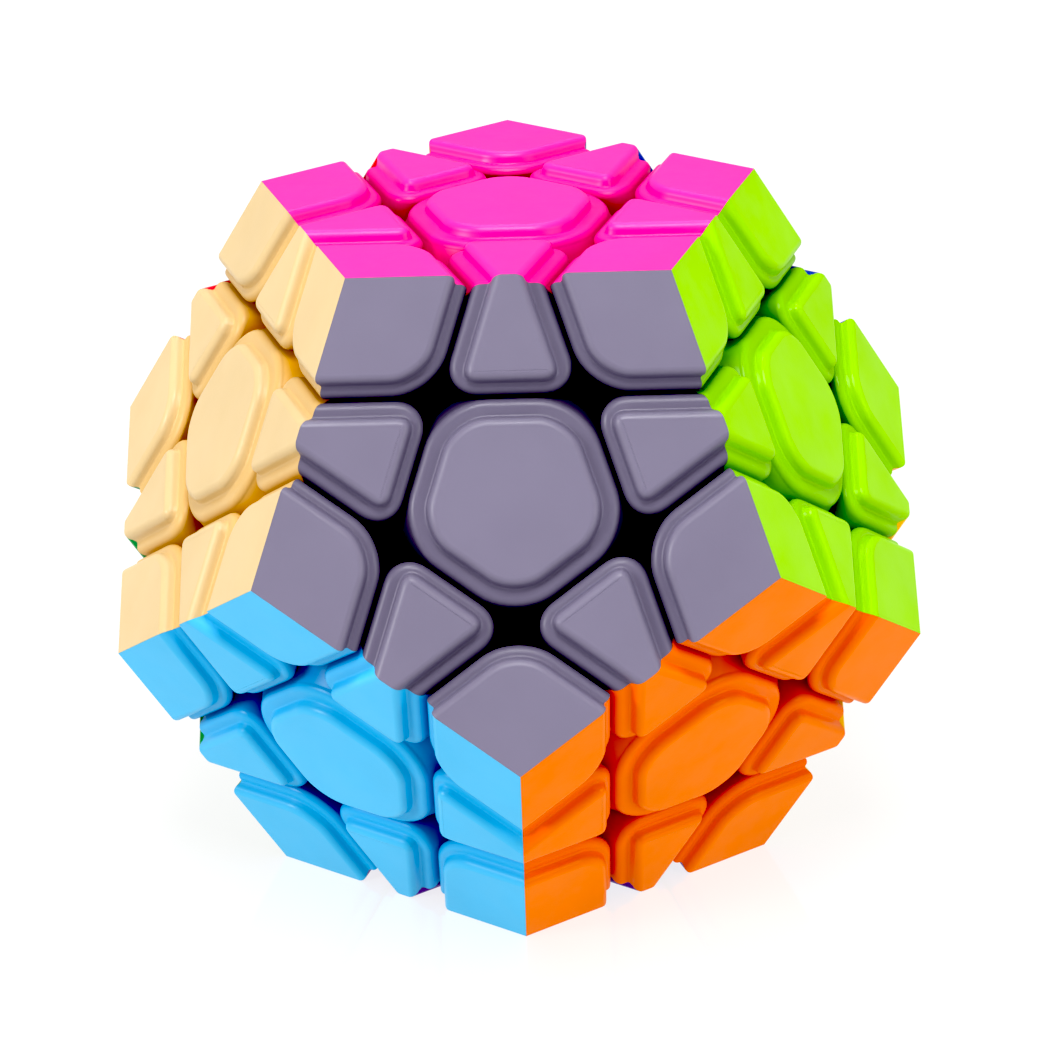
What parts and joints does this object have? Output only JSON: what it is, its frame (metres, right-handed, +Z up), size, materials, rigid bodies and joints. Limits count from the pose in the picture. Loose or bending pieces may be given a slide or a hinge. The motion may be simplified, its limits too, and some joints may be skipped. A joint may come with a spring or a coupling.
{
  "type": "dodecahedral twisty puzzle",
  "caption": "Pocket-size dodecahedral twisty puzzle with sculpted one-colour facelets whose face layers turn by fifths.",
  "frame": {"origin": "middle of the purple face that the puzzle rests on", "axes": "+Z up through the pink face, and the grey face looks towards -Y and up"},
  "size_m": [0.0732, 0.077, 0.0624],
  "materials": {
    "plastic_pink": "satin moulded ABS",
    "plastic_grey": "satin moulded ABS",
    "plastic_lime": "satin moulded ABS",
    "plastic_navy": "satin moulded ABS",
    "plastic_red": "satin moulded ABS",
    "plastic_cream": "satin moulded ABS",
    "plastic_white": "satin moulded ABS",
    "plastic_green": "satin moulded ABS",
    "plastic_blue": "satin moulded ABS",
    "plastic_orange": "satin moulded ABS",
    "plastic_yellow": "satin moulded ABS",
    "plastic_purple": "satin moulded ABS",
    "plastic_black": "plain moulded ABS",
    "screw_steel": "zinc plated",
    "spring_steel": "bright wire"
  },
  "bodies": {
    "core": {"core": "plastic_black", "tension_screws": "screw_steel", "tension_springs": "spring_steel", "centre_purple": "plastic_purple"},
    "centre_pink": {"centre_pink": "plastic_pink"},
    "centre_grey": {"centre_grey": "plastic_grey"},
    "centre_lime": {"centre_lime": "plastic_lime"},
    "centre_navy": {"centre_navy": "plastic_navy"},
    "centre_red": {"centre_red": "plastic_red"},
    "centre_cream": {"centre_cream": "plastic_cream"},
    "centre_white": {"centre_white": "plastic_white", "edge_white_purple": "plastic_black"},
    "centre_green": {"centre_green": "plastic_green", "edge_green_purple": "plastic_black"},
    "centre_blue": {"centre_blue": "plastic_blue", "edge_blue_purple": "plastic_black"},
    "centre_orange": {"centre_orange": "plastic_orange", "edge_orange_purple": "plastic_black"},
    "centre_yellow": {"centre_yellow": "plastic_yellow", "edge_yellow_purple": "plastic_black"},
    "edge_pink_grey": {"edge_pink_grey": "plastic_black"},
    "edge_pink_lime": {"edge_pink_lime": "plastic_black"},
    "edge_pink_navy": {"edge_pink_navy": "plastic_black"},
    "edge_pink_red": {"edge_pink_red": "plastic_black"},
    "edge_pink_cream": {"edge_pink_cream": "plastic_black"},
    "edge_grey_lime": {"edge_grey_lime": "plastic_black"},
    "edge_grey_cream": {"edge_grey_cream": "plastic_black"},
    "edge_grey_blue": {"edge_grey_blue": "plastic_black"},
    "edge_grey_orange": {"edge_grey_orange": "plastic_black"},
    "edge_lime_navy": {"edge_lime_navy": "plastic_black"},
    "edge_lime_orange": {"edge_lime_orange": "plastic_black"},
    "edge_lime_yellow": {"edge_lime_yellow": "plastic_black"},
    "edge_navy_red": {"edge_navy_red": "plastic_black"},
    "edge_navy_white": {"edge_navy_white": "plastic_black"},
    "edge_navy_yellow": {"edge_navy_yellow": "plastic_black"},
    "edge_red_cream": {"edge_red_cream": "plastic_black"},
    "edge_red_white": {"edge_red_white": "plastic_black"},
    "edge_red_green": {"edge_red_green": "plastic_black"},
    "edge_cream_green": {"edge_cream_green": "plastic_black"},
    "edge_cream_blue": {"edge_cream_blue": "plastic_black"},
    "edge_white_green": {"edge_white_green_and_corner": "plastic_black"},
    "edge_white_yellow": {"edge_white_yellow_and_corner": "plastic_black"},
    "edge_green_blue": {"edge_green_blue_and_corner": "plastic_black"},
    "edge_blue_orange": {"edge_blue_orange_and_corner": "plastic_black"},
    "edge_orange_yellow": {"edge_orange_yellow_and_corner": "plastic_black"},
    "corner_pink_grey_lime": {"corner_pink_grey_lime": "plastic_black"},
    "corner_pink_grey_cream": {"corner_pink_grey_cream": "plastic_black"},
    "corner_pink_lime_navy": {"corner_pink_lime_navy": "plastic_black"},
    "corner_pink_navy_red": {"corner_pink_navy_red": "plastic_black"},
    "corner_pink_red_cream": {"corner_pink_red_cream": "plastic_black"},
    "corner_grey_lime_orange": {"corner_grey_lime_orange": "plastic_black"},
    "corner_grey_cream_blue": {"corner_grey_cream_blue": "plastic_black"},
    "corner_grey_blue_orange": {"corner_grey_blue_orange": "plastic_black"},
    "corner_lime_navy_yellow": {"corner_lime_navy_yellow": "plastic_black"},
    "corner_lime_orange_yellow": {"corner_lime_orange_yellow": "plastic_black"},
    "corner_navy_red_white": {"corner_navy_red_white": "plastic_black"},
    "corner_navy_white_yellow": {"corner_navy_white_yellow": "plastic_black"},
    "corner_red_cream_green": {"corner_red_cream_green": "plastic_black"},
    "corner_red_white_green": {"corner_red_white_green": "plastic_black"},
    "corner_cream_green_blue": {"corner_cream_green_blue": "plastic_black"}
  },
  "joints": [
    {"name": "turn_pink", "type": "hinge", "parent": "core", "child": "centre_pink", "pos_m": [0, 0, 0.03118], "axis": [0, 0, 1], "range_deg": [-360, 144]},
    {"name": "turn_grey", "type": "hinge", "parent": "core", "child": "centre_grey", "pos_m": [0, 0, 0.03118], "axis": [0, -0.8944, 0.4472], "range_deg": [-360, 144]},
    {"name": "turn_lime", "type": "hinge", "parent": "core", "child": "centre_lime", "pos_m": [0, 0, 0.03118], "axis": [0.8507, -0.2764, 0.4472], "range_deg": [-360, 144]},
    {"name": "turn_navy", "type": "hinge", "parent": "core", "child": "centre_navy", "pos_m": [0, 0, 0.03118], "axis": [0.5257, 0.7236, 0.4472], "range_deg": [-360, 288]},
    {"name": "turn_red", "type": "hinge", "parent": "core", "child": "centre_red", "pos_m": [0, 0, 0.03118], "axis": [-0.5257, 0.7236, 0.4472], "range_deg": [-360, 288]},
    {"name": "turn_cream", "type": "hinge", "parent": "core", "child": "centre_cream", "pos_m": [0, 0, 0.03118], "axis": [-0.8507, -0.2764, 0.4472], "range_deg": [-360, 144]},
    {"name": "turn_white", "type": "hinge", "parent": "core", "child": "centre_white", "pos_m": [0, 0, 0.03118], "axis": [0, 0.8944, -0.4472], "range_deg": [-360, 216]},
    {"name": "turn_green", "type": "hinge", "parent": "core", "child": "centre_green", "pos_m": [0, 0, 0.03118], "axis": [-0.8507, 0.2764, -0.4472], "range_deg": [-360, 144]},
    {"name": "turn_blue", "type": "hinge", "parent": "core", "child": "centre_blue", "pos_m": [0, 0, 0.03118], "axis": [-0.5257, -0.7236, -0.4472], "range_deg": [-360, 72]},
    {"name": "turn_orange", "type": "hinge", "parent": "core", "child": "centre_orange", "pos_m": [0, 0, 0.03118], "axis": [0.5257, -0.7236, -0.4472], "range_deg": [-360, 72]},
    {"name": "turn_yellow", "type": "hinge", "parent": "core", "child": "centre_yellow", "pos_m": [0, 0, 0.03118], "axis": [0.8507, 0.2764, -0.4472], "range_deg": [-360, 144]},
    {"name": "edge_pink_grey_with_pink", "type": "hinge", "parent": "centre_grey", "child": "edge_pink_grey", "pos_m": [0, 0, 0.03118], "axis": [0, 0, 1], "range_deg": [-360, 144]},
    {"name": "edge_pink_lime_with_lime", "type": "hinge", "parent": "centre_pink", "child": "edge_pink_lime", "pos_m": [0, 0, 0.03118], "axis": [0.8507, -0.2764, 0.4472], "range_deg": [-360, 144]},
    {"name": "edge_pink_navy_with_navy", "type": "hinge", "parent": "centre_pink", "child": "edge_pink_navy", "pos_m": [0, 0, 0.03118], "axis": [0.5257, 0.7236, 0.4472], "range_deg": [-360, 288]},
    {"name": "edge_pink_red_with_pink", "type": "hinge", "parent": "centre_red", "child": "edge_pink_red", "pos_m": [0, 0, 0.03118], "axis": [0, 0, 1], "range_deg": [-360, 144]},
    {"name": "edge_pink_cream_with_pink", "type": "hinge", "parent": "centre_cream", "child": "edge_pink_cream", "pos_m": [0, 0, 0.03118], "axis": [0, 0, 1], "range_deg": [-360, 144]},
    {"name": "edge_grey_lime_with_lime", "type": "hinge", "parent": "centre_grey", "child": "edge_grey_lime", "pos_m": [0, 0, 0.03118], "axis": [0.8507, -0.2764, 0.4472], "range_deg": [-360, 144]},
    {"name": "edge_grey_cream_with_grey", "type": "hinge", "parent": "centre_cream", "child": "edge_grey_cream", "pos_m": [0, 0, 0.03118], "axis": [0, -0.8944, 0.4472], "range_deg": [-360, 144]},
    {"name": "edge_grey_blue_with_blue", "type": "hinge", "parent": "centre_grey", "child": "edge_grey_blue", "pos_m": [0, 0, 0.03118], "axis": [-0.5257, -0.7236, -0.4472], "range_deg": [-360, 72]},
    {"name": "edge_grey_orange_with_orange", "type": "hinge", "parent": "centre_grey", "child": "edge_grey_orange", "pos_m": [0, 0, 0.03118], "axis": [0.5257, -0.7236, -0.4472], "range_deg": [-360, 72]},
    {"name": "edge_lime_navy_with_lime", "type": "hinge", "parent": "centre_navy", "child": "edge_lime_navy", "pos_m": [0, 0, 0.03118], "axis": [0.8507, -0.2764, 0.4472], "range_deg": [-360, 144]},
    {"name": "edge_lime_orange_with_lime", "type": "hinge", "parent": "centre_orange", "child": "edge_lime_orange", "pos_m": [0, 0, 0.03118], "axis": [0.8507, -0.2764, 0.4472], "range_deg": [-360, 144]},
    {"name": "edge_lime_yellow_with_yellow", "type": "hinge", "parent": "centre_lime", "child": "edge_lime_yellow", "pos_m": [0, 0, 0.03118], "axis": [0.8507, 0.2764, -0.4472], "range_deg": [-360, 144]},
    {"name": "edge_navy_red_with_navy", "type": "hinge", "parent": "centre_red", "child": "edge_navy_red", "pos_m": [0, 0, 0.03118], "axis": [0.5257, 0.7236, 0.4472], "range_deg": [-360, 288]},
    {"name": "edge_navy_white_with_white", "type": "hinge", "parent": "centre_navy", "child": "edge_navy_white", "pos_m": [0, 0, 0.03118], "axis": [0, 0.8944, -0.4472], "range_deg": [-360, 216]},
    {"name": "edge_navy_yellow_with_navy", "type": "hinge", "parent": "centre_yellow", "child": "edge_navy_yellow", "pos_m": [0, 0, 0.03118], "axis": [0.5257, 0.7236, 0.4472], "range_deg": [-360, 288]},
    {"name": "edge_red_cream_with_red", "type": "hinge", "parent": "centre_cream", "child": "edge_red_cream", "pos_m": [0, 0, 0.03118], "axis": [-0.5257, 0.7236, 0.4472], "range_deg": [-360, 288]},
    {"name": "edge_red_white_with_red", "type": "hinge", "parent": "centre_white", "child": "edge_red_white", "pos_m": [0, 0, 0.03118], "axis": [-0.5257, 0.7236, 0.4472], "range_deg": [-360, 288]},
    {"name": "edge_red_green_with_green", "type": "hinge", "parent": "centre_red", "child": "edge_red_green", "pos_m": [0, 0, 0.03118], "axis": [-0.8507, 0.2764, -0.4472], "range_deg": [-360, 144]},
    {"name": "edge_cream_green_with_green", "type": "hinge", "parent": "centre_cream", "child": "edge_cream_green", "pos_m": [0, 0, 0.03118], "axis": [-0.8507, 0.2764, -0.4472], "range_deg": [-360, 144]},
    {"name": "edge_cream_blue_with_cream", "type": "hinge", "parent": "centre_blue", "child": "edge_cream_blue", "pos_m": [0, 0, 0.03118], "axis": [-0.8507, -0.2764, 0.4472], "range_deg": [-360, 144]},
    {"name": "edge_white_green_with_green", "type": "hinge", "parent": "centre_white", "child": "edge_white_green", "pos_m": [0, 0, 0.03118], "axis": [-0.8507, 0.2764, -0.4472], "range_deg": [-360, 144]},
    {"name": "edge_white_yellow_with_white", "type": "hinge", "parent": "centre_yellow", "child": "edge_white_yellow", "pos_m": [0, 0, 0.03118], "axis": [0, 0.8944, -0.4472], "range_deg": [-360, 216]},
    {"name": "edge_green_blue_with_green", "type": "hinge", "parent": "centre_blue", "child": "edge_green_blue", "pos_m": [0, 0, 0.03118], "axis": [-0.8507, 0.2764, -0.4472], "range_deg": [-360, 144]},
    {"name": "edge_blue_orange_with_blue", "type": "hinge", "parent": "centre_orange", "child": "edge_blue_orange", "pos_m": [0, 0, 0.03118], "axis": [-0.5257, -0.7236, -0.4472], "range_deg": [-360, 72]},
    {"name": "edge_orange_yellow_with_yellow", "type": "hinge", "parent": "centre_orange", "child": "edge_orange_yellow", "pos_m": [0, 0, 0.03118], "axis": [0.8507, 0.2764, -0.4472], "range_deg": [-360, 144]},
    {"name": "corner_pink_grey_lime_with_lime", "type": "hinge", "parent": "edge_pink_grey", "child": "corner_pink_grey_lime", "pos_m": [0, 0, 0.03118], "axis": [0.8507, -0.2764, 0.4472], "range_deg": [-360, 144]},
    {"name": "corner_pink_grey_cream_with_grey", "type": "hinge", "parent": "edge_pink_cream", "child": "corner_pink_grey_cream", "pos_m": [0, 0, 0.03118], "axis": [0, -0.8944, 0.4472], "range_deg": [-360, 144]},
    {"name": "corner_pink_lime_navy_with_pink", "type": "hinge", "parent": "edge_lime_navy", "child": "corner_pink_lime_navy", "pos_m": [0, 0, 0.03118], "axis": [0, 0, 1], "range_deg": [-360, 144]},
    {"name": "corner_pink_navy_red_with_pink", "type": "hinge", "parent": "edge_navy_red", "child": "corner_pink_navy_red", "pos_m": [0, 0, 0.03118], "axis": [0, 0, 1], "range_deg": [-360, 144]},
    {"name": "corner_pink_red_cream_with_pink", "type": "hinge", "parent": "edge_red_cream", "child": "corner_pink_red_cream", "pos_m": [0, 0, 0.03118], "axis": [0, 0, 1], "range_deg": [-360, 144]},
    {"name": "corner_grey_lime_orange_with_lime", "type": "hinge", "parent": "edge_grey_orange", "child": "corner_grey_lime_orange", "pos_m": [0, 0, 0.03118], "axis": [0.8507, -0.2764, 0.4472], "range_deg": [-360, 144]},
    {"name": "corner_grey_cream_blue_with_grey", "type": "hinge", "parent": "edge_cream_blue", "child": "corner_grey_cream_blue", "pos_m": [0, 0, 0.03118], "axis": [0, -0.8944, 0.4472], "range_deg": [-360, 144]},
    {"name": "corner_grey_blue_orange_with_orange", "type": "hinge", "parent": "edge_grey_blue", "child": "corner_grey_blue_orange", "pos_m": [0, 0, 0.03118], "axis": [0.5257, -0.7236, -0.4472], "range_deg": [-360, 72]},
    {"name": "corner_lime_navy_yellow_with_navy", "type": "hinge", "parent": "edge_lime_yellow", "child": "corner_lime_navy_yellow", "pos_m": [0, 0, 0.03118], "axis": [0.5257, 0.7236, 0.4472], "range_deg": [-360, 288]},
    {"name": "corner_lime_orange_yellow_with_orange", "type": "hinge", "parent": "edge_lime_yellow", "child": "corner_lime_orange_yellow", "pos_m": [0, 0, 0.03118], "axis": [0.5257, -0.7236, -0.4472], "range_deg": [-360, 72]},
    {"name": "corner_navy_red_white_with_navy", "type": "hinge", "parent": "edge_red_white", "child": "corner_navy_red_white", "pos_m": [0, 0, 0.03118], "axis": [0.5257, 0.7236, 0.4472], "range_deg": [-360, 288]},
    {"name": "corner_navy_white_yellow_with_navy", "type": "hinge", "parent": "edge_white_yellow", "child": "corner_navy_white_yellow", "pos_m": [0, 0, 0.03118], "axis": [0.5257, 0.7236, 0.4472], "range_deg": [-360, 288]},
    {"name": "corner_red_cream_green_with_cream", "type": "hinge", "parent": "edge_red_green", "child": "corner_red_cream_green", "pos_m": [0, 0, 0.03118], "axis": [-0.8507, -0.2764, 0.4472], "range_deg": [-360, 144]},
    {"name": "corner_red_white_green_with_white", "type": "hinge", "parent": "edge_red_green", "child": "corner_red_white_green", "pos_m": [0, 0, 0.03118], "axis": [0, 0.8944, -0.4472], "range_deg": [-360, 216]},
    {"name": "corner_cream_green_blue_with_cream", "type": "hinge", "parent": "edge_green_blue", "child": "corner_cream_green_blue", "pos_m": [0, 0, 0.03118], "axis": [-0.8507, -0.2764, 0.4472], "range_deg": [-360, 144]}
  ],
  "couplings": [
    {"joint": "edge_pink_grey_with_pink", "follows": "turn_pink", "ratio": 1},
    {"joint": "edge_pink_lime_with_lime", "follows": "turn_lime", "ratio": 1},
    {"joint": "edge_pink_navy_with_navy", "follows": "turn_navy", "ratio": 1},
    {"joint": "edge_pink_red_with_pink", "follows": "turn_pink", "ratio": 1},
    {"joint": "edge_pink_cream_with_pink", "follows": "turn_pink", "ratio": 1},
    {"joint": "edge_grey_lime_with_lime", "follows": "turn_lime", "ratio": 1},
    {"joint": "edge_grey_cream_with_grey", "follows": "turn_grey", "ratio": 1},
    {"joint": "edge_grey_blue_with_blue", "follows": "turn_blue", "ratio": 1},
    {"joint": "edge_grey_orange_with_orange", "follows": "turn_orange", "ratio": 1},
    {"joint": "edge_lime_navy_with_lime", "follows": "turn_lime", "ratio": 1},
    {"joint": "edge_lime_orange_with_lime", "follows": "turn_lime", "ratio": 1},
    {"joint": "edge_lime_yellow_with_yellow", "follows": "turn_yellow", "ratio": 1},
    {"joint": "edge_navy_red_with_navy", "follows": "turn_navy", "ratio": 1},
    {"joint": "edge_navy_white_with_white", "follows": "turn_white", "ratio": 1},
    {"joint": "edge_navy_yellow_with_navy", "follows": "turn_navy", "ratio": 1},
    {"joint": "edge_red_cream_with_red", "follows": "turn_red", "ratio": 1},
    {"joint": "edge_red_white_with_red", "follows": "turn_red", "ratio": 1},
    {"joint": "edge_red_green_with_green", "follows": "turn_green", "ratio": 1},
    {"joint": "edge_cream_green_with_green", "follows": "turn_green", "ratio": 1},
    {"joint": "edge_cream_blue_with_cream", "follows": "turn_cream", "ratio": 1},
    {"joint": "edge_white_green_with_green", "follows": "turn_green", "ratio": 1},
    {"joint": "edge_white_yellow_with_white", "follows": "turn_white", "ratio": 1},
    {"joint": "edge_green_blue_with_green", "follows": "turn_green", "ratio": 1},
    {"joint": "edge_blue_orange_with_blue", "follows": "turn_blue", "ratio": 1},
    {"joint": "edge_orange_yellow_with_yellow", "follows": "turn_yellow", "ratio": 1},
    {"joint": "corner_pink_grey_lime_with_lime", "follows": "turn_lime", "ratio": 1},
    {"joint": "corner_pink_grey_cream_with_grey", "follows": "turn_grey", "ratio": 1},
    {"joint": "corner_pink_lime_navy_with_pink", "follows": "turn_pink", "ratio": 1},
    {"joint": "corner_pink_navy_red_with_pink", "follows": "turn_pink", "ratio": 1},
    {"joint": "corner_pink_red_cream_with_pink", "follows": "turn_pink", "ratio": 1},
    {"joint": "corner_grey_lime_orange_with_lime", "follows": "turn_lime", "ratio": 1},
    {"joint": "corner_grey_cream_blue_with_grey", "follows": "turn_grey", "ratio": 1},
    {"joint": "corner_grey_blue_orange_with_orange", "follows": "turn_orange", "ratio": 1},
    {"joint": "corner_lime_navy_yellow_with_navy", "follows": "turn_navy", "ratio": 1},
    {"joint": "corner_lime_orange_yellow_with_orange", "follows": "turn_orange", "ratio": 1},
    {"joint": "corner_navy_red_white_with_navy", "follows": "turn_navy", "ratio": 1},
    {"joint": "corner_navy_white_yellow_with_navy", "follows": "turn_navy", "ratio": 1},
    {"joint": "corner_red_cream_green_with_cream", "follows": "turn_cream", "ratio": 1},
    {"joint": "corner_red_white_green_with_white", "follows": "turn_white", "ratio": 1},
    {"joint": "corner_cream_green_blue_with_cream", "follows": "turn_cream", "ratio": 1}
  ]
}
